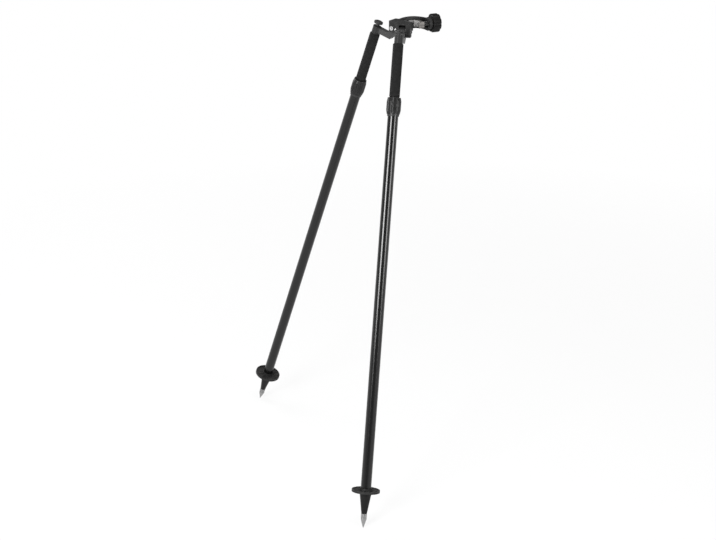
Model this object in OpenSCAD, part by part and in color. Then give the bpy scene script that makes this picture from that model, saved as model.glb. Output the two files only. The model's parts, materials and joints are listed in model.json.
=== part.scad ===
// Prism pole bipod: two telescopic legs hinged to a clamp head that grips a survey pole.
// Origin on the pole axis at the height of the clamp screw, +Z up the pole, +X towards the knob.

/* [Pole clamp] */
// Diameter of the pole that the jaws are bored for
pole_d = 32; // [30:0.5:34]
// Half of the angle that each jaw wraps round the pole
jaw_wrap = 55; // [54:1:58]
// Height of the sliding jaw
jaw_h = 15; // [14:0.5:18]
// Width of the sliding jaw across the throat
jaw_w = 31; // [30:0.5:32]
// Wall of the sliding jaw between the pole and its back face
jaw_wall = 7; // [7:0.5:9]
// How far the sliding jaw opens from the seated pole
jaw_open = 14; // [14:0.5:16]
// Height of the fixed jaw pad
pad_h = 20; // [19:0.5:24]
// Thickness of the fixed jaw pad
pad_wall = 6; // [5:0.5:7]

/* [Head casting] */
// Top of the clevis block above the clamp screw
block_top = 10; // [9:0.5:13]
// Bottom of the clevis block below the clamp screw
block_bottom = 16; // [14:0.5:18]
// Half of the block's width behind the fixed jaw
block_half_w = 20; // [18:0.5:22]
// How far the block reaches back from the pole axis
block_back = 37; // [34:1:40]
// Height of the C-arm at its middle
arm_h = 26.5; // [25:0.5:30]
// Thickness of the C-arm at its middle
arm_wall = 17; // [15:0.5:18]
// How much the arm's outer face bows out between its ends
arm_bow = 10; // [6:0.5:10]
// Radius of the screw boss
boss_r = 15; // [14:0.5:17]
// Length of the screw boss
boss_len = 7; // [7:0.5:10]

/* [Knob and screw] */
// Diameter of the hand knob over its lobes
knob_d = 45; // [40:1:50]
// Thickness of the hand knob
knob_t = 20; // [18:0.5:24]
// Number of finger hollows round the knob
knob_lobes = 8; // [6:1:10]
// Diameter of the clamp screw
screw_d = 12; // [10:1:12]
// Diameter of the nut's journal in the boss
journal_d = 18; // [17:0.5:19]

/* [Leg hinges] */
// Distance of the hinges behind the pole axis
hinge_back = 37; // [36:1:42]
// Distance of each hinge from the middle plane
hinge_side = 22; // [21:0.5:26]
// Distance of the hinges below the clamp screw
hinge_drop = 7; // [5:0.5:8]
// Angle between a leg and the pole as modelled
leg_tilt = 19; // [12:0.5:24]
// Angle between a leg's swing plane and the middle plane
leg_spread = 54; // [50:1:58]
// Thickness of the L-shaped bracket
bracket_t = 15; // [12:0.5:16]
// Radius of the bracket's round end
bracket_r = 9.5; // [8.5:0.5:10]
// Thickness of the clevis cheek under the screw head
cheek_t = 7; // [6:0.5:8]
// Thickness of the outer clevis cheek, with the nut sunk in it
outer_cheek_t = 11; // [10:0.5:12]
// Diameter of the hinge screw
hinge_d = 6; // [5:1:6]

/* [Legs] */
// Offset of the leg axis from the hinge, square to the leg
leg_offset = 46; // [42:1:50]
// Distance of the ground point below the hinge, along the leg
leg_drop = 1193; // [1103:5:1303]
// Outside diameter of the lower, outer tube
outer_d = 25.4; // [25:0.1:26]
// Outside diameter of the upper, inner tube
inner_d = 19; // [18.6:0.1:19.4]
// Wall of both tubes
tube_wall = 1.5; // [1.2:0.1:1.6]
// Outside diameter of the foam grip
grip_d = 25.4; // [24:0.2:27]
// Length of the foam grip
grip_len = 126; // [100:1:140]
// Height of the lock collar
collar_h = 39; // [36:1:42]
// Wall of the lock collar over its bore, at its middle
collar_wall = 2.7; // [2.4:0.1:3.6]
// Number of flutes round the lock collar
collar_flutes = 10; // [8:1:12]

/* [Quick release] */
// Diameter of the push button
button_d = 22; // [18:0.5:24]
// Travel of the push button
button_travel = 6; // [4:0.5:6]
// Diameter of the push rod
rod_d = 5; // [4:0.5:5]
// Wire of the return spring
spring_wire = 1.1; // [0.8:0.1:1.2]
// Turns of the return spring
spring_turns = 8; // [6:1:9]

/* [Feet] */
// Diameter of the foot plate
plate_d = 68; // [60:1:76]
// Number of ribs on the foot plate
plate_ribs = 12; // [8:1:16]
// Height of the foot plate above the ground point
plate_height = 88; // [86:0.5:92]
// Length of the bare steel point
point_len = 34; // [32:1:36]
// Diameter of the steel point's collar
point_d = 14; // [12:0.5:15]

/* [Hidden] */
$fn = 72;
LEFT = 1;
RIGHT = -1;

// Clearances between pieces that move on each other, and small edge breaks
run_gap = 0.05;
slip_gap = 0.1;
clear = 0.3;
edge = 0.8;
through = 1;

// Pole clamp
pole_r = pole_d / 2;
pad_r = pole_r + pad_wall;
jaw_tip_x = pole_r * cos(jaw_wrap);
jaw_back_x = pole_r + jaw_wall;
jaw_key_h = 6;
jaw_key_out = 6;
jaw_key_x = pole_r + 2;
jaw_over = 4;
stop_gap = 0.4;
stop_t = 2.1;
stop_w = 17;
stop_x = jaw_key_x - jaw_over - 2 * clear - stop_w;
stop_stud_d = 6;
stop_stud_len = 7;
arm_in_y = pole_r + stop_gap + stop_t;
pad_screw_d = 4;
pad_screw_head_d = 7.6;
pad_screw_head_h = 2.2;
pad_screw_sink = 0.8;
pad_screw_len = 11;
pad_screw_z = pad_h / 2 - 5;
jaw_pin_d = 3;

// Knob, nut and boss, in order along the screw
nut_end_gap = 0.6;
ring_t = 1.2;
ring_step = 0.4;
ring_depth = 0.9;
ring_out = 1.5;
nut_in_x = jaw_back_x + jaw_open + nut_end_gap;
ring_x = nut_in_x + ring_step;
boss_x = ring_x + ring_t + clear;
boss_end_x = boss_x + boss_len;
washer_t = 0.8;
washer_out = 4;
knob_x = boss_end_x + washer_t + slip_gap;
knob_end_x = knob_x + knob_t;
nut_flange_d = 26;
nut_flange_t = 6;
nut_flange_x = knob_x + 3;
nut_out_x = knob_end_x - 2;
screw_tail = 4;
screw_seat = 5.5;
screw_in_x = jaw_back_x - screw_seat;
screw_out_x = knob_end_x + screw_tail;
knob_round = 3;
knob_scallop_r = 6.5;
knob_scallop_in = 3.6;
knob_hub_d = 30;
knob_dish = 2;

// Arm: a flat inner face and a bowed outer face in plan, an arched top and a flared end in elevation
arm_x0 = -31;
arm_mid_y = arm_in_y + arm_wall;
arm_half = (boss_end_x - arm_x0) / 2;
arm_mid_x = (boss_end_x + arm_x0) / 2;
arm_bow_r = (arm_half * arm_half + arm_bow * arm_bow) / (2 * arm_bow);
arm_top = 13.5;
arm_rise = 4;
arm_arch_r = (arm_half * arm_half + arm_rise * arm_rise) / (2 * arm_rise);
arm_z0 = arm_top - arm_h;
boss_drop = 18;
boss_top = arm_top - arm_rise - edge;
web_side = 8;
web_gap = 0.6;
key_groove_h = jaw_key_h + 2 * clear;
key_groove_y = jaw_w / 2 + jaw_key_out + clear;
key_groove_x = jaw_key_x - jaw_over - clear;

// Hinges: lug, washers and cheeks side by side along the hinge axis
washer_gap = bracket_t / 2 + slip_gap;
hinge_washer_t = 0.8;
hinge_washer_d = 18;
cheek_in = washer_gap + hinge_washer_t;
cheek_out = cheek_in + cheek_t;
outer_cheek_out = cheek_in + outer_cheek_t;
cheek_end = 10;
cheek_root = -24;
cheek_corner = 2;
cheek_low_root = -9;
outer_cheek_low = 16;
slot_back = bracket_r + 1;
slot_roof = 3;
slot_top = hinge_drop + block_top - slot_roof;
slot_deep = 60;
hinge_head_d = 10.4;
hinge_head_h = 4;
hinge_socket_d = 4.6;
hinge_socket_deep = 2.4;
hinge_nut_af = 10;
hinge_nut_h = 5.4;
hinge_nut_cap = 1.4;
hinge_play = 0.1;
bush_wall = 1.5;

// Bracket outline in the leg's plane, measured from the hinge along the leg
hinge_rise = 3;
arm_top_z = -15.5 - hinge_rise;
arm_low_z = -28.5 - hinge_rise;
knee_z = -12 - hinge_rise;
knee_x = 1;
inner_fillet = 5;
cap_flat = 11.5;
bracket_end = leg_offset - cap_flat;
bracket_screw_z = (arm_top_z + arm_low_z) / 2;
stem_d = 8.5;
bracket_screw_d = 6;
bracket_screw_head_d = 10;
bracket_screw_head_h = 6;
bracket_screw_seat = 6;
bracket_screw_wall = 1.2;
bracket_screw_tip = leg_offset - stem_d / 2 - slip_gap - bracket_screw_wall;
bracket_screw_room = 0.2;

// Heights above the ground point, along the leg
cap_line = leg_drop - hinge_rise;
grip_top = cap_line - 34;
grip_low = grip_top - grip_len;
cap_top = cap_line - 15;
cap_d = 20;
spigot_low = cap_line - 76;
spring_hole_top = cap_line - 36;
spring_hole_d = 12.2;
button_stop = 1.5;
button_t = 5;
button_low = cap_top + button_travel + button_stop;
button_top = button_low + button_t;
button_dome = 1.2;
shoulder_d = 11.4;
shoulder_t = 3.7;
rod_top = cap_line - 16;
seat_t = 6;
spring_low = spigot_low + seat_t;
spring_top = spring_hole_top - clear - shoulder_t;
spring_d = 9.6;
spring_rings = 8;
spring_sides = 6;
inner_bore = inner_d - 2 * tube_wall;
outer_bore = outer_d - 2 * tube_wall;
collar_top = grip_low - 1;
collar_low = collar_top - collar_h;
outer_top = collar_low + 10;
outer_low = plate_height;
rod_hole_d = rod_d + 0.4;

// Foot and brake, counted up from the foot plate
cone_spigot = 26;
brake_room = 8;
plug_len = 40;
plug_flange_h = 8;
plug_flange_d = outer_bore - 0.3;
shoe_h = 25;
shoe_count = 3;
shoe_arc = 106;
shoe_d = outer_bore - 0.2;
shoe_in_top = 4.2;
shoe_slope = 0.16;
shoe_gap = 1;
cone_gap = 0.35;
cone_base_h = 8;
cone_base = plate_height + cone_spigot + button_travel + brake_room;
cone_base_top = cone_base + cone_base_h;
shoe_top = cone_base_top + shoe_h;
cone_top = shoe_top - 3;
inner_low = shoe_top + shoe_gap + plug_flange_h;
rod_low = cone_base + 6;

// Lock at the top of the outer tube
bush_len = 45;
bush_flange_t = 3;
ferrule_wall = 1.6;
ferrule_low = collar_low - 5;
ferrule_top = outer_top + 13;
collet_gap = 0.5;
collet_low = outer_top + bush_flange_t + collet_gap;
collet_h = 17;
collet_taper_h = 8;
collet_slit = 1.6;
collet_slits = 4;
collet_top_wall = 1.4;
collar_lip = 5;
collar_bore_r = outer_d / 2 + ferrule_wall + clear;
collar_taper_h = 9;
collar_end_wall = 0.9;
collar_r = collar_bore_r + collar_wall;
collar_end_r = collar_bore_r + collar_end_wall;
collar_cone_low = ferrule_top + 1;
flute_r = 4;
flute_in = 1.8;

// Foot
plate_t = 3;
plate_rim_w = 3.4;
plate_rim_h = 5.6;
plate_rim_drop = 1;
plate_hub_r = 15;
plate_hub_h = 8;
rib_w = 2.2;
rib_h = 1.6;
cone_top_r = 14.1;
cone_low_r = 6.8;
cone_wall_band = 6;
shank_d = 8;
shank_len = 23;
point_cone_len = 20;
point_tip_r = 0.8;
point_ring_t = 1.2;
point_ring_deep = 0.7;

// Frames
module on_side(side) {
    if (side == LEFT) children();
    else mirror([0, 1, 0]) children();
}

// Origin on the hinge axis, +X outward in the swing plane, +Y along the hinge to its screw head
module hinge_frame(side)
    on_side(side)
        translate([-hinge_back, hinge_side, -hinge_drop])
            rotate([0, 0, 180 - leg_spread])
                children();

// The same, tilted with the leg: +Z up along the leg
module leg_frame(side)
    hinge_frame(side)
        rotate([0, -leg_tilt, 0])
            children();

// Origin at the ground point, +Z up the leg's own axis
module leg_line(side)
    leg_frame(side)
        translate([leg_offset, 0, -leg_drop])
            children();

// Shapes used by several pieces
module along_x(x0, len, d)
    translate([x0, 0, 0])
        rotate([0, 90, 0])
            cylinder(h = len, d = d);

module along_y(y0, len, d)
    translate([0, y0, 0])
        rotate([-90, 0, 0])
            cylinder(h = len, d = d);

module ring(z0, h, r_in, r_out)
    translate([0, 0, z0])
        difference() {
            cylinder(h = h, r = r_out);
            translate([0, 0, -through])
                cylinder(h = h + 2 * through, r = r_in);
        }

module slab(x, y, z)
    translate([x[0], y[0], z[0]])
        cube([x[1] - x[0], y[1] - y[0], z[1] - z[0]]);

// Rectangle with cut corners, from two corners
module chamfered(x, y, c)
    polygon([
        [x[0] + c, y[0]], [x[1] - c, y[0]], [x[1], y[0] + c], [x[1], y[1] - c],
        [x[1] - c, y[1]], [x[0] + c, y[1]], [x[0], y[1] - c], [x[0], y[0] + c]
    ]);

// Rectangle with rounded corners, from two corners
module round_plate(x, y, r) {
    translate([x[0] + r, y[0]])
        square([x[1] - x[0] - 2 * r, y[1] - y[0]]);
    translate([x[0], y[0] + r])
        square([x[1] - x[0], y[1] - y[0] - 2 * r]);
    for (cx = [x[0] + r, x[1] - r], cy = [y[0] + r, y[1] - r])
        translate([cx, cy])
            circle(r = r);
}

// Plate that stands in the XZ plane between two heights along Y
module standing(y)
    translate([0, y[1], 0])
        rotate([90, 0, 0])
            linear_extrude(y[1] - y[0])
                children();

// Head
module clevis_plan(side)
    mirror([0, side == LEFT ? 0 : 1])
        translate([-hinge_back, hinge_side])
            rotate(180 - leg_spread)
                chamfered([cheek_root, cheek_end], [-outer_cheek_out, cheek_out], cheek_corner);

module block_plan()
    difference() {
        union() {
            clevis_plan(LEFT);
            clevis_plan(RIGHT);
            translate([-block_back, -block_half_w])
                square([block_back - jaw_tip_x - pad_wall / 2, 2 * block_half_w]);
        }
        circle(r = pad_r);
    }

// The outer cheek hangs lower than the block, with round lower corners
module outer_cheek(side)
    hinge_frame(side)
        standing([-outer_cheek_out, -cheek_in])
            round_plate([cheek_low_root, cheek_end - cheek_corner], [-outer_cheek_low, 0], cheek_corner);

module clevis_cut(side)
    hinge_frame(side) {
        slab([-slot_back, slot_deep], [-cheek_in, cheek_in], [-slot_deep, slot_top]);
        along_y(-slot_deep / 2, slot_deep, hinge_d + 2 * hinge_play);
        translate([0, -outer_cheek_out - hinge_nut_h, 0])
            rotate([-90, 0, 0])
                cylinder(h = 2 * hinge_nut_h, d = hinge_nut_af / cos(30) + 2 * slip_gap, $fn = 6);
    }

module arm_plan()
    intersection() {
        translate([arm_x0, arm_in_y])
            square([boss_end_x - arm_x0, arm_wall]);
        translate([arm_mid_x, arm_mid_y - arm_bow_r])
            circle(r = arm_bow_r, $fn = 180);
    }

module arm_side()
    intersection() {
        polygon([
            [arm_x0, arm_z0], [jaw_back_x, arm_z0], [boss_x, -boss_drop], [boss_end_x, -boss_drop],
            [boss_end_x, arm_top], [arm_x0, arm_top]
        ]);
        translate([arm_mid_x, arm_top - arm_arch_r])
            circle(r = arm_arch_r, $fn = 180);
    }

// Web under the jaw's path, from the arm to the boss
module bottom_web()
    translate([0, 0, arm_z0])
        linear_extrude(-arm_z0 - jaw_h / 2 - web_gap)
            polygon([
                [pole_r, arm_in_y + through], [boss_x + through, arm_in_y + through],
                [boss_x + through, -web_side]
            ]);

module head_casting()
    color([0.16, 0.16, 0.17])
        difference() {
            union() {
                translate([0, 0, -block_bottom])
                    linear_extrude(block_bottom + block_top)
                        block_plan();
                outer_cheek(LEFT);
                outer_cheek(RIGHT);
                intersection() {
                    translate([0, 0, -boss_drop])
                        linear_extrude(boss_drop + arm_top)
                            arm_plan();
                    standing([0, 2 * arm_mid_y])
                        arm_side();
                }
                along_x(boss_x, boss_len, 2 * boss_r);
                slab([boss_x, boss_end_x], [0, arm_in_y + through], [-boss_drop, boss_top]);
                bottom_web();
            }
            clevis_cut(LEFT);
            clevis_cut(RIGHT);
            along_x(boss_x - through, boss_len + 2 * through, journal_d + 2 * run_gap);
            along_x(nut_in_x - through, boss_x - nut_in_x + through, journal_d + 2 * ring_out + 4 * clear);
            slab([key_groove_x, boss_x], [arm_in_y - through, key_groove_y],
                 [-key_groove_h / 2, key_groove_h / 2]);
            translate([stop_x + stop_w / 2, 0, 0])
                along_y(arm_in_y - through, stop_stud_len + through, stop_stud_d);
            for (z = [-pad_screw_z, pad_screw_z])
                translate([0, 0, z])
                    along_x(-pad_r - pad_screw_len, 2 * pad_screw_len, pad_screw_d);
        }

module pad_screw_shape() {
    along_x(-pole_r - pad_screw_sink - pad_screw_len, pad_screw_len, pad_screw_d);
    translate([-pole_r - pad_screw_sink - pad_screw_head_h, 0, 0])
        rotate([0, 90, 0])
            cylinder(h = pad_screw_head_h, d1 = pad_screw_d, d2 = pad_screw_head_d);
}

module fixed_jaw_pad()
    color([0.1, 0.1, 0.1])
        difference() {
            intersection() {
                ring(-pad_h / 2, pad_h, pole_r, pad_r);
                slab([-2 * pad_r, -jaw_tip_x], [-2 * pad_r, arm_in_y], [-pad_h, pad_h]);
            }
            for (z = [-pad_screw_z, pad_screw_z])
                translate([0, 0, z]) {
                    pad_screw_shape();
                    along_x(-pole_r - pad_screw_sink, pad_wall, pad_screw_head_d);
                }
        }

module jaw_pad_screws()
    color([0.6, 0.6, 0.62])
        for (z = [-pad_screw_z, pad_screw_z])
            translate([0, 0, z])
                pad_screw_shape();

module back_pad()
    color([0.72, 0.72, 0.7]) {
        slab([stop_x, stop_x + stop_w], [pole_r + stop_gap, arm_in_y], [-jaw_h / 2, jaw_h / 2]);
        translate([stop_x + stop_w / 2, 0, 0])
            along_y(arm_in_y - edge, stop_stud_len + edge - through, stop_stud_d);
    }

module hinge_screws()
    color([0.78, 0.78, 0.8])
        for (side = [LEFT, RIGHT])
            hinge_frame(side)
                difference() {
                    union() {
                        along_y(hinge_nut_cap - outer_cheek_out,
                                outer_cheek_out + cheek_out - hinge_nut_cap, hinge_d);
                        along_y(cheek_out, hinge_head_h, hinge_head_d);
                    }
                    translate([0, cheek_out + hinge_head_h - hinge_socket_deep, 0])
                        rotate([-90, 0, 0])
                            cylinder(h = hinge_socket_deep + through, d = hinge_socket_d, $fn = 6);
                }

module hinge_nuts()
    color([0.7, 0.7, 0.72])
        for (side = [LEFT, RIGHT])
            hinge_frame(side)
                difference() {
                    translate([0, -outer_cheek_out, 0])
                        rotate([-90, 0, 0])
                            cylinder(h = hinge_nut_h, d = hinge_nut_af / cos(30), $fn = 6);
                    along_y(hinge_nut_cap - outer_cheek_out, hinge_nut_h, hinge_d);
                }

module hinge_washers()
    color([0.75, 0.72, 0.62])
        for (side = [LEFT, RIGHT], y = [washer_gap, -washer_gap - hinge_washer_t])
            hinge_frame(side)
                difference() {
                    along_y(y, hinge_washer_t, hinge_washer_d);
                    along_y(y - through, hinge_washer_t + 2 * through, hinge_d + 4 * hinge_play);
                }

module thrust_washer()
    color([0.7, 0.5, 0.25])
        difference() {
            along_x(boss_end_x, washer_t, journal_d + 2 * washer_out);
            along_x(boss_end_x - through, washer_t + 2 * through, journal_d + 4 * slip_gap);
        }

// Knob
module knob_profile()
    intersection() {
        round_plate([-knob_d, knob_d / 2], [0, knob_t], knob_round);
        square([knob_d, knob_t]);
    }

module clamp_knob()
    color([0.07, 0.07, 0.07])
        difference() {
            translate([knob_x, 0, 0])
                rotate([0, 90, 0])
                    difference() {
                        rotate_extrude()
                            knob_profile();
                        translate([0, 0, knob_t - knob_dish])
                            cylinder(h = knob_dish + through, d = knob_hub_d);
                        for (i = [0 : knob_lobes - 1])
                            rotate(i * 360 / knob_lobes)
                                translate([knob_d / 2 + knob_scallop_r - knob_scallop_in, 0, -through])
                                    cylinder(h = knob_t + 2 * through, r = knob_scallop_r);
                    }
            along_x(knob_x - through, knob_t + 2 * through, journal_d);
            translate([nut_flange_x, 0, 0])
                rotate([0, 90, 0])
                    cylinder(h = nut_flange_t, d = nut_flange_d, $fn = 6);
        }

module knob_nut()
    color([0.75, 0.6, 0.3])
        difference() {
            union() {
                along_x(nut_in_x, nut_out_x - nut_in_x, journal_d);
                translate([nut_flange_x, 0, 0])
                    rotate([0, 90, 0])
                        cylinder(h = nut_flange_t, d = nut_flange_d, $fn = 6);
            }
            along_x(nut_in_x - through, nut_out_x - nut_in_x + 2 * through, screw_d + 2 * slip_gap);
            difference() {
                along_x(ring_x, ring_t, journal_d + through);
                along_x(ring_x - through, ring_t + 2 * through, journal_d - 2 * ring_depth);
            }
        }

module retaining_ring()
    color([0.35, 0.35, 0.36])
        difference() {
            along_x(ring_x, ring_t, journal_d + 2 * ring_out);
            along_x(ring_x - through, ring_t + 2 * through, journal_d - 2 * ring_depth);
        }

// Sliding jaw
module moving_jaw()
    color([0.72, 0.72, 0.72])
        difference() {
            union() {
                slab([jaw_tip_x, jaw_back_x], [-jaw_w / 2, jaw_w / 2], [-jaw_h / 2, jaw_h / 2]);
                slab([jaw_key_x, jaw_back_x], [jaw_w / 2 - edge, jaw_w / 2 + jaw_key_out],
                     [-jaw_key_h / 2, jaw_key_h / 2]);
            }
            translate([0, 0, -jaw_h])
                cylinder(h = 2 * jaw_h, r = pole_r);
            along_x(screw_in_x, screw_seat + through, screw_d);
            translate([jaw_back_x - screw_seat / 2, 0, -jaw_h])
                cylinder(h = 2 * jaw_h, d = jaw_pin_d);
        }

module clamp_screw()
    color([0.55, 0.55, 0.57])
        difference() {
            along_x(screw_in_x, screw_out_x - screw_in_x, screw_d);
            translate([jaw_back_x - screw_seat / 2, 0, -screw_d])
                cylinder(h = 2 * screw_d, d = jaw_pin_d);
        }

module jaw_pin()
    color([0.6, 0.6, 0.62])
        translate([jaw_back_x - screw_seat / 2, 0, -jaw_h / 2 + edge])
            cylinder(h = jaw_h - 2 * edge, d = jaw_pin_d);

// Upper leg
module bracket_plan()
    difference() {
        union() {
            circle(r = bracket_r);
            polygon([
                [-bracket_r, 0], [-bracket_r, knee_z], [knee_x, arm_low_z], [bracket_end, arm_low_z],
                [bracket_end, arm_top_z], [bracket_r + inner_fillet, arm_top_z],
                [bracket_r, arm_top_z + inner_fillet], [bracket_r, 0]
            ]);
        }
        translate([bracket_r + inner_fillet, arm_top_z + inner_fillet])
            circle(r = inner_fillet);
    }

module bracket(side)
    color([0.24, 0.24, 0.25])
        leg_frame(side)
            difference() {
                standing([-bracket_t / 2, bracket_t / 2])
                    bracket_plan();
                along_y(-bracket_t, 2 * bracket_t, hinge_d + 2 * bush_wall);
                translate([0, 0, bracket_screw_z]) {
                    along_x(-2 * bracket_r, 2 * bracket_end, bracket_screw_d);
                    along_x(-2 * bracket_r, 2 * bracket_r + bracket_screw_seat,
                            bracket_screw_head_d + 2 * bracket_screw_room);
                }
            }

module hinge_bush(side)
    color([0.7, 0.5, 0.25])
        leg_frame(side)
            difference() {
                along_y(-bracket_t / 2, bracket_t, hinge_d + 2 * bush_wall);
                along_y(-bracket_t, 2 * bracket_t, hinge_d + 2 * run_gap);
            }

module bracket_screw(side)
    color([0.25, 0.25, 0.26])
        leg_frame(side)
            translate([0, 0, bracket_screw_z]) {
                along_x(bracket_screw_seat, bracket_screw_tip - bracket_screw_seat, bracket_screw_d);
                difference() {
                    along_x(bracket_screw_seat - bracket_screw_head_h, bracket_screw_head_h,
                            bracket_screw_head_d);
                    translate([-through, 0, 0])
                        rotate([0, 90, 0])
                            cylinder(h = bracket_screw_head_h / 2 + through,
                                     d = bracket_screw_head_d / 2, $fn = 6);
                }
            }

module leg_cap(side)
    color([0.15, 0.15, 0.16])
        leg_line(side)
            difference() {
                union() {
                    translate([0, 0, grip_top])
                        cylinder(h = cap_top - grip_top, d = cap_d);
                    slab([-cap_flat, 0], [-bracket_t / 2, bracket_t / 2],
                         [leg_drop + arm_low_z, leg_drop + arm_top_z]);
                    translate([0, 0, spigot_low])
                        cylinder(h = grip_top - spigot_low, d = inner_bore);
                }
                translate([0, 0, spigot_low - through])
                    cylinder(h = spring_hole_top - spigot_low + through, d = spring_hole_d);
                translate([0, 0, spigot_low])
                    cylinder(h = cap_top - spigot_low + through, d = stem_d + 2 * slip_gap);
                translate([-leg_offset, 0, leg_drop + bracket_screw_z])
                    along_x(bracket_end - through, bracket_screw_tip - bracket_end + through,
                            bracket_screw_d);
            }

module inner_tube(side)
    color([0.2, 0.2, 0.21])
        leg_line(side)
            ring(inner_low, grip_top - inner_low, inner_bore / 2, inner_d / 2);

module foam_grip(side)
    color([0.12, 0.12, 0.12])
        leg_line(side)
            ring(grip_low, grip_len - clear, inner_d / 2, grip_d / 2);

module spring_seat(side)
    color([0.5, 0.5, 0.52])
        leg_line(side)
            ring(spigot_low, seat_t, rod_hole_d / 2, spring_hole_d / 2);

// Return spring: an open coil between the seat and the button's shoulder
spring_rise = spring_top - spring_low - spring_wire - 2 * clear;
spring_steps = spring_turns * spring_rings;
function coil_point(i, j) =
    let (
        turn = 360 * i / spring_rings,
        around = 360 * j / spring_sides,
        out = (spring_d - spring_wire) / 2 + spring_wire / 2 * cos(around)
    )
    [out * cos(turn), out * sin(turn),
     spring_low + clear + spring_wire / 2 + spring_rise * i / spring_steps
        + spring_wire / 2 * sin(around)];
coil_points = [for (i = [0 : spring_steps], j = [0 : spring_sides - 1]) coil_point(i, j)];
coil_sides = [
    for (i = [0 : spring_steps - 1], j = [0 : spring_sides - 1])
        let (a = i * spring_sides + j, b = i * spring_sides + (j + 1) % spring_sides)
        [a, a + spring_sides, b + spring_sides, b]
];
coil_start = [for (j = [0 : spring_sides - 1]) j];
coil_end = [for (j = [0 : spring_sides - 1]) spring_steps * spring_sides + spring_sides - 1 - j];
coil_gap = min([for (i = [0 : spring_steps - spring_rings], j = [0 : spring_sides - 1],
                     k = [0 : spring_sides - 1])
    norm(coil_point(i + spring_rings, j) - coil_point(i, k))]);
echo(spring_least_gap = coil_gap);

module return_spring(side)
    color([0.7, 0.7, 0.72])
        leg_line(side)
            polyhedron(points = coil_points, faces = concat(coil_sides, [coil_start, coil_end]));

module brake_plug(side)
    color([0.3, 0.3, 0.3])
        leg_line(side)
            difference() {
                union() {
                    translate([0, 0, inner_low])
                        cylinder(h = plug_len, d = inner_bore);
                    translate([0, 0, inner_low - plug_flange_h])
                        cylinder(h = plug_flange_h, d = plug_flange_d);
                }
                translate([0, 0, inner_low - plug_flange_h - through])
                    cylinder(h = plug_len + plug_flange_h + 2 * through, d = rod_hole_d);
            }

function shoe_bore(z) = shoe_in_top + shoe_slope * (shoe_top - z);

module brake_shoes(side)
    color([0.45, 0.38, 0.3])
        leg_line(side)
            for (i = [0 : shoe_count - 1])
                rotate(i * 360 / shoe_count)
                    rotate_extrude(angle = shoe_arc)
                        polygon([
                            [shoe_bore(shoe_top), shoe_top],
                            [shoe_bore(shoe_top - shoe_h), shoe_top - shoe_h],
                            [shoe_d / 2, shoe_top - shoe_h],
                            [shoe_d / 2, shoe_top]
                        ]);

// Quick release
module push_button(side)
    color([0.13, 0.13, 0.14])
        leg_line(side)
            difference() {
                union() {
                    translate([0, 0, button_low])
                        cylinder(h = button_top - button_low - button_dome, d = button_d);
                    translate([0, 0, button_top - button_dome])
                        cylinder(h = button_dome, d1 = button_d, d2 = button_d - 4 * button_dome);
                    translate([0, 0, spring_top])
                        cylinder(h = button_low - spring_top, d = stem_d);
                    translate([0, 0, spring_top])
                        cylinder(h = shoulder_t, d = shoulder_d);
                }
                translate([0, 0, spring_top - through])
                    cylinder(h = rod_top - spring_top + through, d = rod_d);
            }

module push_rod(side)
    color([0.6, 0.6, 0.62])
        leg_line(side)
            translate([0, 0, rod_low])
                cylinder(h = rod_top - rod_low, d = rod_d);

module brake_cone(side)
    color([0.62, 0.62, 0.64])
        leg_line(side)
            difference() {
                union() {
                    translate([0, 0, cone_base])
                        cylinder(h = cone_base_top - cone_base, r = shoe_bore(cone_base_top) - cone_gap);
                    translate([0, 0, cone_base_top])
                        cylinder(h = cone_top - cone_base_top, r1 = shoe_bore(cone_base_top) - cone_gap,
                                 r2 = shoe_bore(cone_top) - cone_gap);
                }
                translate([0, 0, rod_low])
                    cylinder(h = cone_top - rod_low + through, d = rod_d);
            }

// Lower leg
module outer_tube(side)
    color([0.05, 0.05, 0.05])
        leg_line(side)
            ring(outer_low, outer_top - outer_low, outer_bore / 2, outer_d / 2);

module guide_bush(side)
    color([0.85, 0.84, 0.8])
        leg_line(side) {
            ring(outer_top - bush_len, bush_len, inner_d / 2 + slip_gap, outer_bore / 2);
            ring(outer_top, bush_flange_t, inner_d / 2 + slip_gap, outer_d / 2);
        }

module lock_ferrule(side)
    color([0.4, 0.4, 0.42])
        leg_line(side)
            ring(ferrule_low, ferrule_top - ferrule_low, outer_d / 2, outer_d / 2 + ferrule_wall);

module lock_collet(side)
    color([0.85, 0.84, 0.8])
        leg_line(side)
            difference() {
                union() {
                    translate([0, 0, collet_low])
                        cylinder(h = collet_h - collet_taper_h, r = outer_d / 2 - slip_gap);
                    translate([0, 0, collet_low + collet_h - collet_taper_h])
                        cylinder(h = collet_taper_h, r1 = outer_d / 2 - slip_gap,
                                 r2 = inner_d / 2 + collet_top_wall);
                }
                translate([0, 0, collet_low - through])
                    cylinder(h = collet_h + 2 * through, r = inner_d / 2 + slip_gap);
                for (i = [0 : collet_slits - 1])
                    rotate(i * 360 / collet_slits)
                        slab([0, outer_d], [-collet_slit / 2, collet_slit / 2],
                             [collet_low + bush_flange_t, collet_low + 2 * collet_h]);
            }

module collar_profile()
    polygon([
        [0, collar_low], [collar_end_r, collar_low], [collar_r, collar_low + collar_taper_h],
        [collar_r, collar_top - collar_taper_h], [collar_end_r, collar_top], [0, collar_top]
    ]);

module lock_collar(side)
    color([0.11, 0.11, 0.12])
        leg_line(side)
            difference() {
                rotate_extrude()
                    collar_profile();
                translate([0, 0, collar_low - through])
                    cylinder(h = collar_cone_low - collar_low + through, r = collar_bore_r);
                translate([0, 0, collar_cone_low])
                    cylinder(h = collar_top - collar_lip - collar_cone_low, r1 = collar_bore_r,
                             r2 = inner_d / 2 + collet_top_wall + 2 * clear);
                translate([0, 0, collar_low])
                    cylinder(h = collar_h + through, r = inner_d / 2 + clear);
                for (i = [0 : collar_flutes - 1])
                    rotate(i * 360 / collar_flutes)
                        translate([collar_r + flute_r - flute_in, 0, collar_low - through])
                            cylinder(h = collar_h + 2 * through, r = flute_r);
            }

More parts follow.
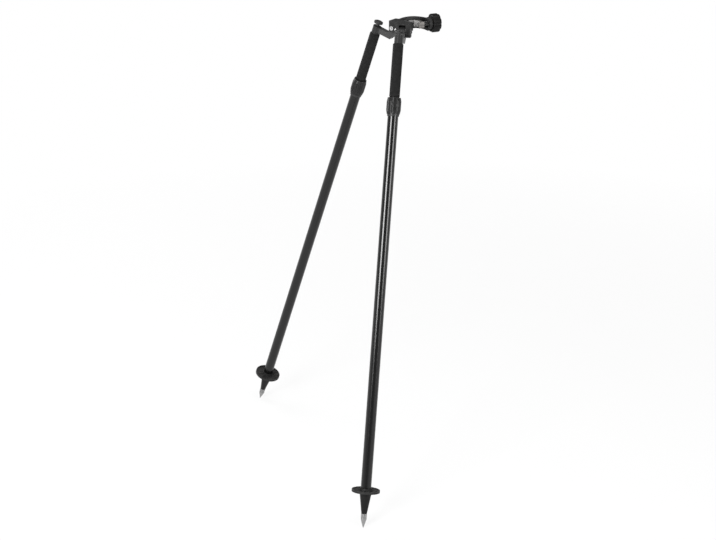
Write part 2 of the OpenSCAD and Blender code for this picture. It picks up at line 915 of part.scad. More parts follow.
// Foot
module step_plate(side)
    color([0.1, 0.1, 0.1])
        leg_line(side) {
            ring(plate_height, plate_t, outer_d / 2, plate_d / 2);
            ring(plate_height, plate_hub_h, outer_d / 2, plate_hub_r);
            ring(plate_height - plate_rim_drop, plate_rim_h, plate_d / 2 - plate_rim_w, plate_d / 2);
            for (i = [0 : plate_ribs - 1])
                rotate(i * 360 / plate_ribs)
                    slab([plate_hub_r - edge, plate_d / 2 - plate_rim_w + edge], [-rib_w / 2, rib_w / 2],
                         [plate_height + plate_t - edge, plate_height + plate_t + rib_h]);
        }

module foot_cone(side)
    color([0.1, 0.1, 0.1])
        leg_line(side)
            rotate_extrude()
                polygon([
                    [shank_d / 2, point_len], [cone_low_r, point_len],
                    [cone_top_r, plate_height - cone_wall_band], [cone_top_r, plate_height],
                    [outer_bore / 2, plate_height], [outer_bore / 2, plate_height + cone_spigot],
                    [0, plate_height + cone_spigot], [0, point_len + shank_len],
                    [shank_d / 2, point_len + shank_len]
                ]);

module steel_point(side)
    color([0.72, 0.72, 0.73])
        leg_line(side)
            difference() {
                union() {
                    cylinder(h = point_cone_len, r1 = point_tip_r, r2 = point_d / 2);
                    translate([0, 0, point_cone_len])
                        cylinder(h = point_len - point_cone_len, d = point_d);
                    translate([0, 0, point_len])
                        cylinder(h = shank_len, d = shank_d);
                }
                for (k = [1, 2])
                    ring(point_cone_len + k * (point_len - point_cone_len) / 3, point_ring_t,
                         point_d / 2 - point_ring_deep, point_d);
            }

head_casting();
fixed_jaw_pad();
jaw_pad_screws();
back_pad();
hinge_screws();
hinge_nuts();
hinge_washers();
thrust_washer();
clamp_knob();
knob_nut();
retaining_ring();
moving_jaw();
clamp_screw();
jaw_pin();
bracket(LEFT);  // left_bracket
hinge_bush(LEFT);  // left_hinge_bush
bracket_screw(LEFT);  // left_bracket_screw
leg_cap(LEFT);  // left_leg_cap
inner_tube(LEFT);  // left_inner_tube
foam_grip(LEFT);  // left_foam_grip
spring_seat(LEFT);  // left_spring_seat
return_spring(LEFT);  // left_return_spring
brake_plug(LEFT);  // left_brake_plug
brake_shoes(LEFT);  // left_brake_shoes
push_button(LEFT);  // left_push_button
push_rod(LEFT);  // left_push_rod
brake_cone(LEFT);  // left_brake_cone
outer_tube(LEFT);  // left_outer_tube
guide_bush(LEFT);  // left_guide_bush
lock_ferrule(LEFT);  // left_lock_ferrule
lock_collet(LEFT);  // left_lock_collet
step_plate(LEFT);  // left_step_plate
foot_cone(LEFT);  // left_foot_cone
steel_point(LEFT);  // left_steel_point
lock_collar(LEFT);  // left_lock_collar
bracket(RIGHT);  // right_bracket
hinge_bush(RIGHT);  // right_hinge_bush
bracket_screw(RIGHT);  // right_bracket_screw
leg_cap(RIGHT);  // right_leg_cap
inner_tube(RIGHT);  // right_inner_tube
foam_grip(RIGHT);  // right_foam_grip
spring_seat(RIGHT);  // right_spring_seat
return_spring(RIGHT);  // right_return_spring
brake_plug(RIGHT);  // right_brake_plug
brake_shoes(RIGHT);  // right_brake_shoes
push_button(RIGHT);  // right_push_button
push_rod(RIGHT);  // right_push_rod
brake_cone(RIGHT);  // right_brake_cone
outer_tube(RIGHT);  // right_outer_tube
guide_bush(RIGHT);  // right_guide_bush
lock_ferrule(RIGHT);  // right_lock_ferrule
lock_collet(RIGHT);  // right_lock_collet
step_plate(RIGHT);  // right_step_plate
foot_cone(RIGHT);  // right_foot_cone
steel_point(RIGHT);  // right_steel_point
lock_collar(RIGHT);  // right_lock_collar
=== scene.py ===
"""Looks of a prism pole bipod: finishes, foam grips, screw thread, springs, studio and camera."""

import json
import math

import bmesh
import bpy
from mathutils import Matrix, Vector, noise


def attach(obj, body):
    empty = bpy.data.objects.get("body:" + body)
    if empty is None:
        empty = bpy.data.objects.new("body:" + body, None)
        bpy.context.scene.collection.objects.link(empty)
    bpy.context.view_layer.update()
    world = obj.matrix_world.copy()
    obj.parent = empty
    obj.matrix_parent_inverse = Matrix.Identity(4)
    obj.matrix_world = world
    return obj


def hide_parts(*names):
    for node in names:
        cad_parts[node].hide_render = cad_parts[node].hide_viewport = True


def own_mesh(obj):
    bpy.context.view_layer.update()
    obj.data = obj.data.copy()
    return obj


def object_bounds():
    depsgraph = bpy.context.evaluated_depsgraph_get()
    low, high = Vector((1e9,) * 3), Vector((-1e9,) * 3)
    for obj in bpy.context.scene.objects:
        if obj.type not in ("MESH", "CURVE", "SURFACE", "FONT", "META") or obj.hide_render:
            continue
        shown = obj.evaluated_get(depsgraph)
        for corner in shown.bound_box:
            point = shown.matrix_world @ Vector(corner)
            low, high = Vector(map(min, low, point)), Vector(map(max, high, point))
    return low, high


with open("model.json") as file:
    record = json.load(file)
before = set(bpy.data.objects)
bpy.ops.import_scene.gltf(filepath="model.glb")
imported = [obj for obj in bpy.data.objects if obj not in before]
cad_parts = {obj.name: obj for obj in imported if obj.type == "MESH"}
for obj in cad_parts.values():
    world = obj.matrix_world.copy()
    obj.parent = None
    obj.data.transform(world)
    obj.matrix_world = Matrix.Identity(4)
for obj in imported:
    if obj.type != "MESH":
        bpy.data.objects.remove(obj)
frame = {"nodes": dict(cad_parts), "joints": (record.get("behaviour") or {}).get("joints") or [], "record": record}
cad_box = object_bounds()

MM = 0.001
SIDES = ("left", "right")
NODES = frame["nodes"]
JOINTS = {joint["name"]: joint for joint in frame["joints"]}
SLOT_OF = {part["node"]: part["material_slot"] for part in frame["record"]["subparts"]}


# Places that come from the frame

def leg_axis(side):
    """A point on the leg's own axis and the direction up along it."""
    point = Vector(JOINTS[f"{side}_lock_turn"]["pos_m"])
    down = Vector(JOINTS[f"{side}_leg_extend"]["axis"]).normalized()
    return point, -down


def span_on_axis(node, point, along):
    """Lowest and highest place of a node along an axis, and its least and greatest radius."""
    places, radii = [], []
    for vertex in NODES[node].data.vertices:
        offset = vertex.co - point
        place = offset.dot(along)
        places.append(place)
        radii.append((offset - along * place).length)
    return min(places), max(places), min(radii), max(radii)


def axis_frame(point, along):
    """Matrix whose local Z runs along an axis through a point."""
    turn = Vector((0, 0, 1)).rotation_difference(along)
    return Matrix.Translation(point) @ turn.to_matrix().to_4x4()


# Meshes

def ring_skin(name, rings, closed):
    """A skin over rings of points: joined round to the first ring if closed, or else with flat ends."""
    mesh = bmesh.new()
    rows = [[mesh.verts.new(point) for point in ring] for ring in rings]
    followers = rows[1:] + rows[:1] if closed else rows[1:]
    for low, high in zip(rows, followers):
        for k in range(len(low)):
            n = (k + 1) % len(low)
            mesh.faces.new((low[k], low[n], high[n], high[k]))
    if not closed:
        mesh.faces.new(rows[0][::-1])
        mesh.faces.new(rows[-1])
    return shown(name, mesh)


def shown(name, mesh):
    """Puts a finished mesh into the scene with smooth faces that point outwards."""
    bmesh.ops.recalc_face_normals(mesh, faces=mesh.faces)
    for face in mesh.faces:
        face.smooth = True
    data = bpy.data.meshes.new(name)
    mesh.to_mesh(data)
    mesh.free()
    piece = bpy.data.objects.new(name, data)
    bpy.context.scene.collection.objects.link(piece)
    return piece


def ring_at(radius_at, z, sides):
    """Points round the Z axis at height z, with a radius that may change with the angle."""
    turns = [2 * math.pi * k / sides for k in range(sides)]
    return [(radius_at(t) * math.cos(t), radius_at(t) * math.sin(t), z) for t in turns]


# Shader nodes

def add(tree, kind, sockets=None, **settings):
    """A new shader node with its settings, its socket values and its links."""
    made = tree.nodes.new(kind)
    for setting, value in settings.items():
        setattr(made, setting, value)
    for socket, value in (sockets or {}).items():
        if isinstance(value, bpy.types.NodeSocket):
            tree.links.new(value, made.inputs[socket])
        else:
            made.inputs[socket].default_value = value
    return made


def maths(tree, operation, a, b=0.0, clamp=False):
    """One sum on two values, kept between 0 and 1 if clamped."""
    return add(tree, "ShaderNodeMath", {0: a, 1: b}, operation=operation, use_clamp=clamp).outputs[0]


def ranged(tree, value, low, high, to_low, to_high):
    """A value carried from one range to another and kept within it."""
    return add(
        tree,
        "ShaderNodeMapRange",
        {"Value": value, "From Min": low, "From Max": high, "To Min": to_low, "To Max": to_high},
    ).outputs[0]


def mixed(tree, factor, a, b):
    """Colour a where the factor is 0 and colour b where it is 1."""
    made = add(tree, "ShaderNodeMix", data_type="RGBA")
    for index, value in ((0, factor), (6, a), (7, b)):
        if isinstance(value, bpy.types.NodeSocket):
            tree.links.new(value, made.inputs[index])
        else:
            made.inputs[index].default_value = value
    return made.outputs[2]


def new_group(name, inputs, outputs):
    """An empty shader node group with number inputs that have defaults, and named outputs."""
    group = bpy.data.node_groups.new(name, "ShaderNodeTree")
    for socket, start in inputs.items():
        made = group.interface.new_socket(socket, in_out="INPUT", socket_type="NodeSocketFloat")
        made.default_value = start
    for socket, kind in outputs.items():
        group.interface.new_socket(socket, in_out="OUTPUT", socket_type=kind)
    return group, group.nodes.new("NodeGroupInput").outputs, group.nodes.new("NodeGroupOutput")


def object_coordinates(tree):
    """Places in the part's own frame, which move with the piece."""
    return add(tree, "ShaderNodeTexCoord").outputs["Object"]


def fine_grain_group():
    """Grain of a coated or moulded surface: a coarse mottle for colour and a fine height for bump."""
    tree, given, result = new_group(
        "fine_grain",
        {"Mottle Scale": 60.0, "Grain Scale": 900.0},
        {"Mottle": "NodeSocketFloat", "Height": "NodeSocketFloat"},
    )
    place = object_coordinates(tree)
    mottle = add(tree, "ShaderNodeTexNoise",
                 {"Vector": place, "Scale": given["Mottle Scale"], "Detail": 4.0, "Roughness": 0.6})
    grain = add(tree, "ShaderNodeTexNoise",
                {"Vector": place, "Scale": given["Grain Scale"], "Detail": 2.0, "Roughness": 0.5})
    tree.links.new(ranged(tree, mottle.outputs[0], 0.3, 0.7, 0.0, 1.0), result.inputs["Mottle"])
    tree.links.new(grain.outputs[0], result.inputs["Height"])
    return tree


def worn_edges_group():
    """Rounded look of a sharp edge, and a broken mask where the finish has rubbed off it."""
    tree, given, result = new_group(
        "worn_edges",
        {"Edge Radius": 0.0006, "Wear": 0.5, "Patch Scale": 220.0},
        {"Normal": "NodeSocketVector", "Mask": "NodeSocketFloat"},
    )
    rounded = add(tree, "ShaderNodeBevel", {"Radius": given["Edge Radius"]}, samples=6).outputs[0]
    true_normal = add(tree, "ShaderNodeNewGeometry").outputs["Normal"]
    facing = add(tree, "ShaderNodeVectorMath", {0: rounded, 1: true_normal},
                 operation="DOT_PRODUCT").outputs["Value"]
    edge = ranged(tree, facing, 0.99, 0.86, 0.0, 1.0)
    patches = add(tree, "ShaderNodeTexNoise",
                  {"Vector": object_coordinates(tree), "Scale": given["Patch Scale"], "Detail": 5.0})
    broken = ranged(tree, patches.outputs[0], 0.42, 0.62, 0.0, 1.0)
    worn = maths(tree, "MULTIPLY", maths(tree, "MULTIPLY", edge, broken), given["Wear"], clamp=True)
    tree.links.new(rounded, result.inputs["Normal"])
    tree.links.new(worn, result.inputs["Mask"])
    return tree


def settled_dust_group():
    """Mask of the thin dust that lies on faces that look up."""
    tree, given, result = new_group(
        "settled_dust", {"Amount": 0.2, "Patch Scale": 35.0}, {"Mask": "NodeSocketFloat"})
    normal = add(tree, "ShaderNodeNewGeometry").outputs["Normal"]
    up = add(tree, "ShaderNodeSeparateXYZ", {0: normal}).outputs["Z"]
    patches = add(tree, "ShaderNodeTexNoise",
                  {"Vector": object_coordinates(tree), "Scale": given["Patch Scale"], "Detail": 6.0})
    lying = maths(tree, "MULTIPLY", ranged(tree, up, 0.2, 0.9, 0.0, 1.0),
                  ranged(tree, patches.outputs[0], 0.35, 0.7, 0.0, 1.0))
    tree.links.new(maths(tree, "MULTIPLY", lying, given["Amount"], clamp=True), result.inputs["Mask"])
    return tree


def tool_marks_group():
    """Long fine marks that machining or drawing leaves along a metal surface."""
    tree, given, result = new_group(
        "tool_marks",
        {"Along": 12.0, "Across": 1400.0, "Up": 1400.0},
        {"Shade": "NodeSocketFloat", "Height": "NodeSocketFloat"},
    )
    stretch = add(tree, "ShaderNodeCombineXYZ", {0: given["Along"], 1: given["Across"], 2: given["Up"]})
    place = add(tree, "ShaderNodeVectorMath",
                {0: object_coordinates(tree), 1: stretch.outputs[0]}, operation="MULTIPLY").outputs[0]
    marks = add(tree, "ShaderNodeTexNoise", {"Vector": place, "Scale": 1.0, "Detail": 3.0}).outputs[0]
    tree.links.new(ranged(tree, marks, 0.3, 0.7, 0.0, 1.0), result.inputs["Shade"])
    tree.links.new(marks, result.inputs["Height"])
    return tree


def recess_shade_group():
    """Mask of painted shade in slots and corners, where ambient occlusion finds nearby surfaces."""
    tree, given, result = new_group(
        "recess_painted_shade", {"Reach": 0.012, "Amount": 0.5}, {"Mask": "NodeSocketFloat"})
    # Painted shade: the colour darkens where ambient occlusion finds nearby surfaces
    openness = add(tree, "ShaderNodeAmbientOcclusion", {"Distance": given["Reach"]}, samples=8).outputs["AO"]
    hidden = ranged(tree, openness, 0.72, 0.3, 0.0, 1.0)
    tree.links.new(maths(tree, "MULTIPLY", hidden, given["Amount"], clamp=True), result.inputs["Mask"])
    return tree


# Finishes

FINE_GRAIN = fine_grain_group()
WORN_EDGES = worn_edges_group()
SETTLED_DUST = settled_dust_group()
TOOL_MARKS = tool_marks_group()
RECESS_SHADE = recess_shade_group()
DUST_COLOUR = (0.22, 0.21, 0.2, 1.0)
DUST_ROUGHENS = 0.3
# Colour of the painted shade in recesses and round the hinge pins, and how much rougher it makes the surface
PAINTED_SHADE_COLOUR = (0.003, 0.003, 0.003, 1.0)
SHADE_ROUGHENS = 0.4
GRAIN_DEPTH = 0.2 * MM
PORE_DEPTH = 0.25 * MM


def grouped(tree, group, sockets):
    """A shared effect placed in a material with that material's own values."""
    made = add(tree, "ShaderNodeGroup", node_tree=group)
    for socket, value in sockets.items():
        made.inputs[socket].default_value = value
    return made.outputs


def grey(level, warm=0.0):
    """A grey in linear light, a little warm or cool."""
    return (level * (1 + warm), level, level * (1 - warm), 1.0)


def new_material(name):
    """A new material, its node tree and its Principled shader."""
    material = bpy.data.materials.new(name)
    material.use_nodes = True
    tree = material.node_tree
    return material, tree, tree.nodes["Principled BSDF"]


def finish(slot, light, dark, roughness, spread=0.08, metallic=0.0, mottle=60.0, grain=900.0,
           bump=0.15, edge=0.6, wear=0.0, bare=grey(0.4), dust=0.0, recess_shade=0.0, specular=0.5, marks=None):
    """A procedural finish: mottled colour, uneven gloss, grain, rounded worn edges, dust and painted shade in
    recesses.

    The edge is a radius in millimetres, and marks are the scales of tool marks along X, Y and Z.
    """
    material, tree, shader = new_material(slot)
    skin = grouped(tree, FINE_GRAIN, {"Mottle Scale": mottle, "Grain Scale": grain})
    edges = grouped(tree, WORN_EDGES, {"Edge Radius": edge * MM, "Wear": wear})
    shade, height = skin["Mottle"], skin["Height"]
    if marks:
        lines = grouped(tree, TOOL_MARKS, dict(zip(("Along", "Across", "Up"), marks)))
        shade, height = lines["Shade"], lines["Height"]
    colour = mixed(tree, shade, dark, light)
    if wear:
        colour = mixed(tree, edges["Mask"], colour, bare)
    rough = ranged(tree, shade, 0.0, 1.0, roughness + spread, roughness - spread)
    if dust:
        lying = grouped(tree, SETTLED_DUST, {"Amount": dust})["Mask"]
        colour = mixed(tree, lying, colour, DUST_COLOUR)
        rough = maths(tree, "ADD", rough, maths(tree, "MULTIPLY", lying, DUST_ROUGHENS), clamp=True)
    # Painted shade in recesses, from ambient occlusion
    if recess_shade:
        recess_shaded = grouped(tree, RECESS_SHADE, {"Amount": recess_shade})["Mask"]
        colour = mixed(tree, recess_shaded, colour, PAINTED_SHADE_COLOUR)
        rough = maths(tree, "ADD", rough, maths(tree, "MULTIPLY", recess_shaded, SHADE_ROUGHENS), clamp=True)
    tree.links.new(colour, shader.inputs["Base Color"])
    tree.links.new(rough, shader.inputs["Roughness"])
    shader.inputs["Metallic"].default_value = metallic
    shader.inputs["Specular IOR Level"].default_value = specular
    normal = edges["Normal"]
    if bump:
        relief = {"Strength": bump, "Distance": GRAIN_DEPTH, "Height": height, "Normal": normal}
        normal = add(tree, "ShaderNodeBump", relief).outputs[0]
    tree.links.new(normal, shader.inputs["Normal"])
    return material


def foam_finish():
    """Closed-cell foam: small dark pores in a soft matt skin, with a faint sheen at the outline."""
    material, tree, shader = new_material("foam")
    place = object_coordinates(tree)
    skin = grouped(tree, FINE_GRAIN, {"Mottle Scale": 90.0, "Grain Scale": 1500.0})
    cells = add(tree, "ShaderNodeTexVoronoi", {"Vector": place, "Scale": 950.0}).outputs["Distance"]
    pores = ranged(tree, cells, 0.1, 0.45, 0.0, 1.0)
    skin_colour = mixed(tree, skin["Mottle"], grey(0.004), grey(0.0075))
    tree.links.new(mixed(tree, pores, grey(0.003), skin_colour), shader.inputs["Base Color"])
    tree.links.new(ranged(tree, skin["Mottle"], 0.0, 1.0, 0.92, 0.8), shader.inputs["Roughness"])
    shader.inputs["Specular IOR Level"].default_value = 0.25
    shader.inputs["Sheen Weight"].default_value = 0.02
    shader.inputs["Sheen Roughness"].default_value = 0.5
    height = maths(tree, "ADD", pores, maths(tree, "MULTIPLY", skin["Height"], 0.6))
    relief = add(tree, "ShaderNodeBump", {"Strength": 0.5, "Distance": PORE_DEPTH, "Height": height})
    tree.links.new(relief.outputs[0], shader.inputs["Normal"])
    return material


POLE_RADIUS = frame["record"]["mounts"][0]["dims"]["r_mm"] * MM
RUBBED_CORE = 0.1 * MM
RUBBED_REACH = 0.6 * MM
MILLED_METALLIC = 0.5
RUBBED_METALLIC = 0.1


def milled_finish():
    """Bare aluminium with milling marks along the slide, and a bore that poles have rubbed bright."""
    material = finish("bare_aluminium", grey(0.23, 0.06), grey(0.02, 0.06), 0.55, bump=0.25, edge=0.5,
                      marks=(9.0, 380.0, 380.0))
    tree = material.node_tree
    shader = tree.nodes["Principled BSDF"]
    flat = add(tree, "ShaderNodeVectorMath", {0: object_coordinates(tree), 1: (1.0, 1.0, 0.0)},
               operation="MULTIPLY").outputs[0]
    from_pole = add(tree, "ShaderNodeVectorMath", {0: flat}, operation="LENGTH").outputs["Value"]
    rubbed = ranged(tree, from_pole, POLE_RADIUS + RUBBED_REACH, POLE_RADIUS + RUBBED_CORE, 0.0, 1.0)
    milled = shader.inputs["Base Color"].links[0].from_socket
    tree.links.new(mixed(tree, rubbed, milled, grey(0.36, 0.02)), shader.inputs["Base Color"])
    metallic = ranged(tree, rubbed, 0.0, 1.0, MILLED_METALLIC, RUBBED_METALLIC)
    tree.links.new(metallic, shader.inputs["Metallic"])
    return material


# Painted shade round each hinge pin: the lug darkens within these distances of the pin and turns rougher
HINGE_SHADE_CORE = 12.5 * MM
HINGE_SHADE_REACH = 17.0 * MM
HINGE_SHADE_ROUGHENS = 0.25


def hinge_shaded_finish():
    """Satin grey lugs with painted shade, nearly black, round the hinge pin."""
    material = finish("satin_grey", grey(0.039), grey(0.023), 0.42, specular=0.4, bump=0.2, grain=1300.0,
                      edge=1.0, wear=0.25, bare=grey(0.22), dust=0.05, recess_shade=0.9)
    tree = material.node_tree
    shader = tree.nodes["Principled BSDF"]
    place = object_coordinates(tree)
    colour = shader.inputs["Base Color"].links[0].from_socket
    rough = shader.inputs["Roughness"].links[0].from_socket
    for side in SIDES:
        pin = Vector(JOINTS[f"{side}_leg_fold"]["pos_m"])
        from_pin = add(tree, "ShaderNodeVectorMath", {0: place, 1: pin}, operation="DISTANCE")
        # Painted shade: the lug's colour goes nearly black towards the hinge pin
        hinge_shaded = ranged(tree, from_pin.outputs["Value"], HINGE_SHADE_REACH, HINGE_SHADE_CORE, 0.0, 1.0)
        colour = mixed(tree, hinge_shaded, colour, PAINTED_SHADE_COLOUR)
        rough = maths(tree, "ADD", rough, maths(tree, "MULTIPLY", hinge_shaded, HINGE_SHADE_ROUGHENS), clamp=True)
    tree.links.new(colour, shader.inputs["Base Color"])
    tree.links.new(rough, shader.inputs["Roughness"])
    return material


PLAIN_FINISHES = {
    "black_paint": dict(
        light=grey(0.023), dark=grey(0.012), roughness=0.6, specular=0.22, bump=0.12, grain=1100.0,
        edge=0.9, wear=0.35, bare=grey(0.1), dust=0.02, recess_shade=0.9
    ),
    "black_rubber": dict(
        light=grey(0.026), dark=grey(0.015), roughness=0.78, bump=0.3, edge=0.5, dust=0.1
    ),
    "zinc": dict(
        light=grey(0.56), dark=grey(0.38), roughness=0.3, metallic=1.0, mottle=300.0, bump=0.06, edge=0.4
    ),
    "pale_nylon": dict(
        light=grey(0.26, 0.02), dark=grey(0.19, 0.02), roughness=0.55, bump=0.1, edge=0.5
    ),
    "bronze": dict(
        light=(0.52, 0.36, 0.17, 1.0), dark=(0.34, 0.22, 0.1, 1.0), roughness=0.4, metallic=1.0, mottle=500.0,
        bump=0.1, edge=0.4
    ),
    "knob_plastic": dict(
        light=grey(0.007), dark=grey(0.003), roughness=0.48, specular=0.16, bump=0.3, grain=1500.0,
        edge=0.8, wear=0.12, bare=grey(0.05), dust=0.04
    ),
    "dark_steel": dict(
        light=grey(0.1), dark=grey(0.05), roughness=0.42, metallic=1.0, mottle=400.0, edge=0.4, wear=0.3,
        bare=grey(0.45)
    ),
    "satin_black": dict(
        light=grey(0.02), dark=grey(0.012), roughness=0.5, specular=0.25, bump=0.15, edge=0.7, wear=0.2,
        bare=grey(0.12), dust=0.04
    ),
    "grey_anodised": dict(
        light=grey(0.05), dark=grey(0.034), roughness=0.42, metallic=0.6, specular=0.3, bump=0.08,
        edge=0.4, marks=(400.0, 400.0, 14.0)
    ),
    "black_nylon": dict(
        light=grey(0.03), dark=grey(0.02), roughness=0.5, edge=0.5
    ),
    "button_black": dict(
        light=grey(0.024), dark=grey(0.014), roughness=0.45, specular=0.35, edge=0.6, wear=0.25,
        bare=grey(0.1), dust=0.05
    ),
    "gloss_black": dict(
        light=grey(0.003), dark=grey(0.002), roughness=0.2, spread=0.02, mottle=25.0, bump=0.0, edge=0.5,
        specular=0.44
    ),
    "plate_black": dict(
        light=grey(0.018), dark=grey(0.007), roughness=0.55, specular=0.3, mottle=90.0, bump=0.5, edge=0.7,
        wear=0.3, bare=grey(0.08), dust=0.12
    ),
    "foot_black": dict(
        light=grey(0.007), dark=grey(0.0035), roughness=0.47, specular=0.2, edge=0.7, wear=0.3,
        bare=grey(0.1), dust=0.08
    ),
    "point_steel": dict(
        light=grey(0.42), dark=grey(0.25), roughness=0.36, metallic=1.0, bump=0.15, edge=0.4,
        marks=(60.0, 60.0, 1500.0)
    ),
    "collar_black": dict(
        light=grey(0.008), dark=grey(0.004), roughness=0.37, specular=0.32, bump=0.3, grain=1400.0,
        edge=0.9, wear=0.15, bare=grey(0.09), dust=0.04
    ),
}

FINISHES = {slot: finish(slot, **look) for slot, look in PLAIN_FINISHES.items()}
FINISHES["bare_aluminium"] = milled_finish()
FINISHES["satin_grey"] = hinge_shaded_finish()
FINISHES["foam"] = foam_finish()

for node, piece in NODES.items():
    piece.data.materials.clear()
    piece.data.materials.append(FINISHES[SLOT_OF[node]])


# Foam grips: a soft sleeve with rounded ends and the shallow waves that hands leave

GRIP_SIDES = 72
GRIP_ROWS = 96
GRIP_END_ROUND = 2.4 * MM
GRIP_WAVE = 0.35 * MM
GRIP_WAVE_SCALE = 38.0  # waves to a metre


def foam_sleeve(side):
    """The soft sleeve of one leg, in the place of its plain solid."""
    node = f"{side}_foam_grip"
    point, up = leg_axis(side)
    low, high, bore, outside = span_on_axis(node, point, up)

    def soft_radius(z):
        from_end = min(z - low, high - z)
        if from_end >= GRIP_END_ROUND:
            return outside
        lost = GRIP_END_ROUND - from_end
        return outside - GRIP_END_ROUND + math.sqrt(GRIP_END_ROUND ** 2 - lost ** 2)

    def wavy(z):
        def radius_at(turn):
            spot = Vector((math.cos(turn) * outside, math.sin(turn) * outside, z)) * GRIP_WAVE_SCALE
            return soft_radius(z) - GRIP_WAVE * (0.5 + 0.5 * noise.noise(spot))
        return radius_at

    # Rows lie closer together towards the rounded ends
    shares = [0.5 - 0.5 * math.cos(math.pi * k / GRIP_ROWS) for k in range(GRIP_ROWS + 1)]
    heights = [low + (high - low) * share for share in shares]
    rings = [ring_at(wavy(z), z, GRIP_SIDES) for z in heights]
    rings += [ring_at(lambda turn: bore, z, GRIP_SIDES) for z in (high, low)]
    sleeve = ring_skin(f"{side}_grip_sleeve", rings, closed=True)
    sleeve.matrix_world = axis_frame(point, up)
    sleeve.data.materials.append(FINISHES["foam"])
    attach(sleeve, f"{side}_upper_leg")
    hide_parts(node)


for side in SIDES:
    foam_sleeve(side)


# Clamp screw: a two-start left-hand thread, so that a clockwise turn of the captive knob closes the jaw

THREAD_LEAD = 4 * MM
THREAD_STARTS = 2
THREAD_DEPTH = 0.9 * MM
THREAD_FLANK = 2.6
THREAD_SIDES = 48
THREAD_STEP = 0.2 * MM
THREAD_END = 1.0 * MM
SHANK_LENGTH = 7.5 * MM


def threaded_screw():
    """The clamp screw with its thread, in the place of the plain rod."""
    start = Vector((0, 0, 0))
    low, high, _, radius = span_on_axis("clamp_screw", start, Vector((1, 0, 0)))

    def thread_radius(z):
        def radius_at(turn):
            if z < low + SHANK_LENGTH:
                return radius
            phase = (THREAD_STARTS * z / THREAD_LEAD + turn / (2 * math.pi)) % 1.0
            flank = min(1.0, abs(phase - 0.5) * THREAD_FLANK)
            taper = max(0.0, THREAD_END - (high - z))
            return radius - THREAD_DEPTH * flank - taper
        return radius_at

    count = round((high - low) / THREAD_STEP)
    heights = [low + (high - low) * k / count for k in range(count + 1)]
    rings = [ring_at(thread_radius(z), z, THREAD_SIDES) for z in heights]
    screw = ring_skin("clamp_screw_threaded", rings, closed=False)
    screw.matrix_world = axis_frame(start, Vector((1, 0, 0)))
    screw.data.materials.append(FINISHES["dark_steel"])
    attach(screw, "jaw")
    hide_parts("clamp_screw")


threaded_screw()


# Return springs: round wire coils that the button presses together

SPRING_TURNS = 8
SPRING_STEPS = 28
SPRING_WIRE_SIDES = 14


def return_spring(side):
    """The coil of one leg, in the place of its plain solid."""
    node = f"{side}_return_spring"
    point, up = leg_axis(side)
    low, high, inside, outside = span_on_axis(node, point, up)
    wire = (outside - inside) / 2
    coil = outside - wire
    count = SPRING_TURNS * SPRING_STEPS
    rings = []
    for i in range(count + 1):
        turn = 2 * math.pi * i / SPRING_STEPS
        z = low + wire + (high - low - 2 * wire) * i / count
        ring = []
        for k in range(SPRING_WIRE_SIDES):
            around = 2 * math.pi * k / SPRING_WIRE_SIDES
            out = coil + wire * math.cos(around)
            ring.append((out * math.cos(turn), out * math.sin(turn), z + wire * math.sin(around)))
        rings.append(ring)
    spring = ring_skin(f"{side}_spring_coil", rings, closed=False)
    spring.matrix_world = axis_frame(point, up)
    spring.data.materials.append(FINISHES["zinc"])
    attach(spring, f"{side}_upper_leg")
    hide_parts(node)
    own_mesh(spring)


for side in SIDES:
    return_spring(side)


# Studio: a milky clear floor that keeps the shadow and shows a foot below it, over a white sweep

FLOOR_HALF = 60.0
FLOOR_CLEAR_NEAR = 0.86
FLOOR_CLEAR_FAR = 1.0
FLOOR_NEAR = 0.8
FLOOR_FAR = 2.6
SWEEP_EDGE = 0.03  # sine of the elevation where the white begins to fade
SWEEP_TOP = 0.07  # sine of the elevation where it has gone
WORLD_LEVEL = 0.26


def seen_directly(tree):
    """1 for rays from the camera, from gloss and through glass, and 0 for soft light."""
    path = add(tree, "ShaderNodeLightPath").outputs
    direct = maths(tree, "MAXIMUM", path["Is Camera Ray"], path["Is Glossy Ray"])
    return maths(tree, "MAXIMUM", direct, path["Is Transmission Ray"])


def studio_floor():
    """A floor at the height of the points, matt for soft light and nearly clear where it is seen."""
    mesh = bmesh.new()
    bmesh.ops.create_grid(mesh, x_segments=1, y_segments=1, size=FLOOR_HALF)
    floor = shown("studio_floor", mesh)
    floor.location.z = cad_box[0].z
    material, tree, shader = new_material("floor_white")
    tree.nodes.remove(shader)
    place = object_coordinates(tree)
    mottle = add(tree, "ShaderNodeTexNoise", {"Vector": place, "Scale": 3.0})
    pale = mixed(tree, mottle.outputs[0], grey(0.89), grey(0.92))
    matt = add(tree, "ShaderNodeBsdfDiffuse", {"Color": pale})
    clear = add(tree, "ShaderNodeBsdfTransparent", {"Color": grey(1.0)})
    away = add(tree, "ShaderNodeVectorMath", {0: place}, operation="LENGTH").outputs["Value"]
    clearness = ranged(tree, away, FLOOR_NEAR, FLOOR_FAR, FLOOR_CLEAR_NEAR, FLOOR_CLEAR_FAR)
    share = maths(tree, "MULTIPLY", seen_directly(tree), clearness)
    both = add(tree, "ShaderNodeMixShader", {0: share, 1: matt.outputs[0], 2: clear.outputs[0]})
    tree.links.new(both.outputs[0], tree.nodes["Material Output"].inputs["Surface"])
    floor.data.materials.append(material)


def studio_world():
    """Dim all round for soft light, and where it is seen a white sweep to a little above the horizon."""
    world = bpy.data.worlds.new("studio")
    bpy.context.scene.world = world
    world.use_nodes = True
    tree = world.node_tree
    way = add(tree, "ShaderNodeTexCoord").outputs["Generated"]
    height = add(tree, "ShaderNodeSeparateXYZ", {0: way}).outputs["Z"]
    sweep = ranged(tree, height, SWEEP_EDGE, SWEEP_TOP, 1.0, 0.0)
    white = maths(tree, "MULTIPLY", sweep, seen_directly(tree))
    background = tree.nodes["Background"].inputs
    background["Color"].default_value = grey(1.0)
    tree.links.new(ranged(tree, white, 0.0, 1.0, WORLD_LEVEL, 1.0), background["Strength"])


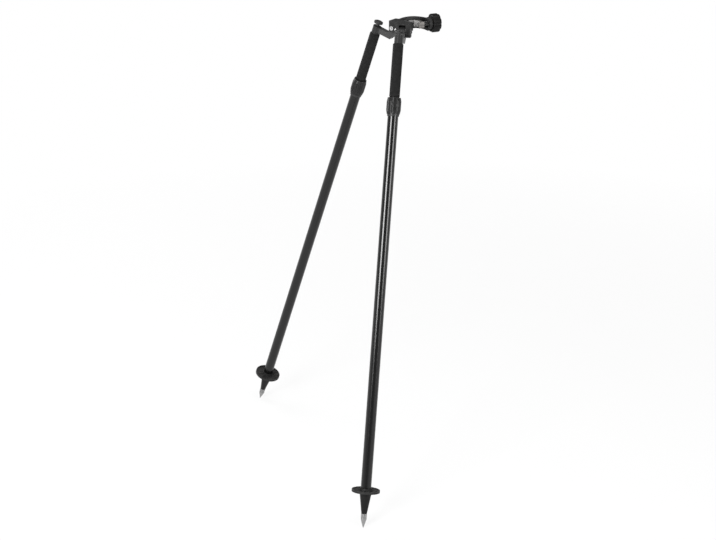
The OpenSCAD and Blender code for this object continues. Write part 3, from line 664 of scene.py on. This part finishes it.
# Camera, from the lines of the two legs in the photograph

IMAGE_WIDTH = 716
FOCAL_PIXELS = 1338.8
CAMERA_PLACE = Vector((-1.394, -2.902, 0.639))
CAMERA_TURN = math.radians(-23.30)
CAMERA_DOWN = math.radians(21.62)
SENSOR_WIDTH = 36.0
CLIP_END = 200.0


def photo_camera():
    """The camera of the photograph."""
    data = bpy.data.cameras.new("photo_camera")
    data.sensor_width = SENSOR_WIDTH
    data.lens = FOCAL_PIXELS / IMAGE_WIDTH * SENSOR_WIDTH
    data.clip_end = CLIP_END
    camera = bpy.data.objects.new("photo_camera", data)
    camera.location = CAMERA_PLACE
    camera.rotation_euler = (math.pi / 2 - CAMERA_DOWN, 0.0, CAMERA_TURN)
    bpy.context.scene.collection.objects.link(camera)
    bpy.context.scene.camera = camera


# Softboxes: degrees to the right of the camera and above the horizon, distance, width, height, radiance

LIT_PLACE = Vector((-0.13, -0.18, -0.45))
SOFTBOXES = {
    "softbox_left": (-38.0, 19.5, 3.0, 1.15, 1.1, 22.0),
    "softbox_right": (50.0, 12.5, 3.0, 1.15, 1.0, 11.0),
    "softbox_top": (0.0, 80.0, 2.6, 1.6, 1.6, 3.2),
    "softbox_back": (-132.0, 25.0, 3.0, 1.5, 1.3, 6.0),
}


def softbox(name, turn, rise, distance, width, height, radiance):
    """An area light that is aimed at the legs."""
    heading = CAMERA_TURN + math.radians(turn)
    level = math.radians(rise)
    flat = math.cos(level)
    way = Vector((math.sin(heading) * flat, -math.cos(heading) * flat, math.sin(level)))
    data = bpy.data.lights.new(name, "AREA")
    data.shape = "RECTANGLE"
    data.size = width
    data.size_y = height
    data.energy = radiance * math.pi * width * height
    lamp = bpy.data.objects.new(name, data)
    lamp.location = LIT_PLACE + way * distance
    lamp.rotation_euler = (-way).to_track_quat("-Z", "Y").to_euler()
    bpy.context.scene.collection.objects.link(lamp)


studio_floor()
studio_world()
photo_camera()
for name, setting in SOFTBOXES.items():
    softbox(name, *setting)

bpy.context.scene.view_settings.view_transform = "Standard"
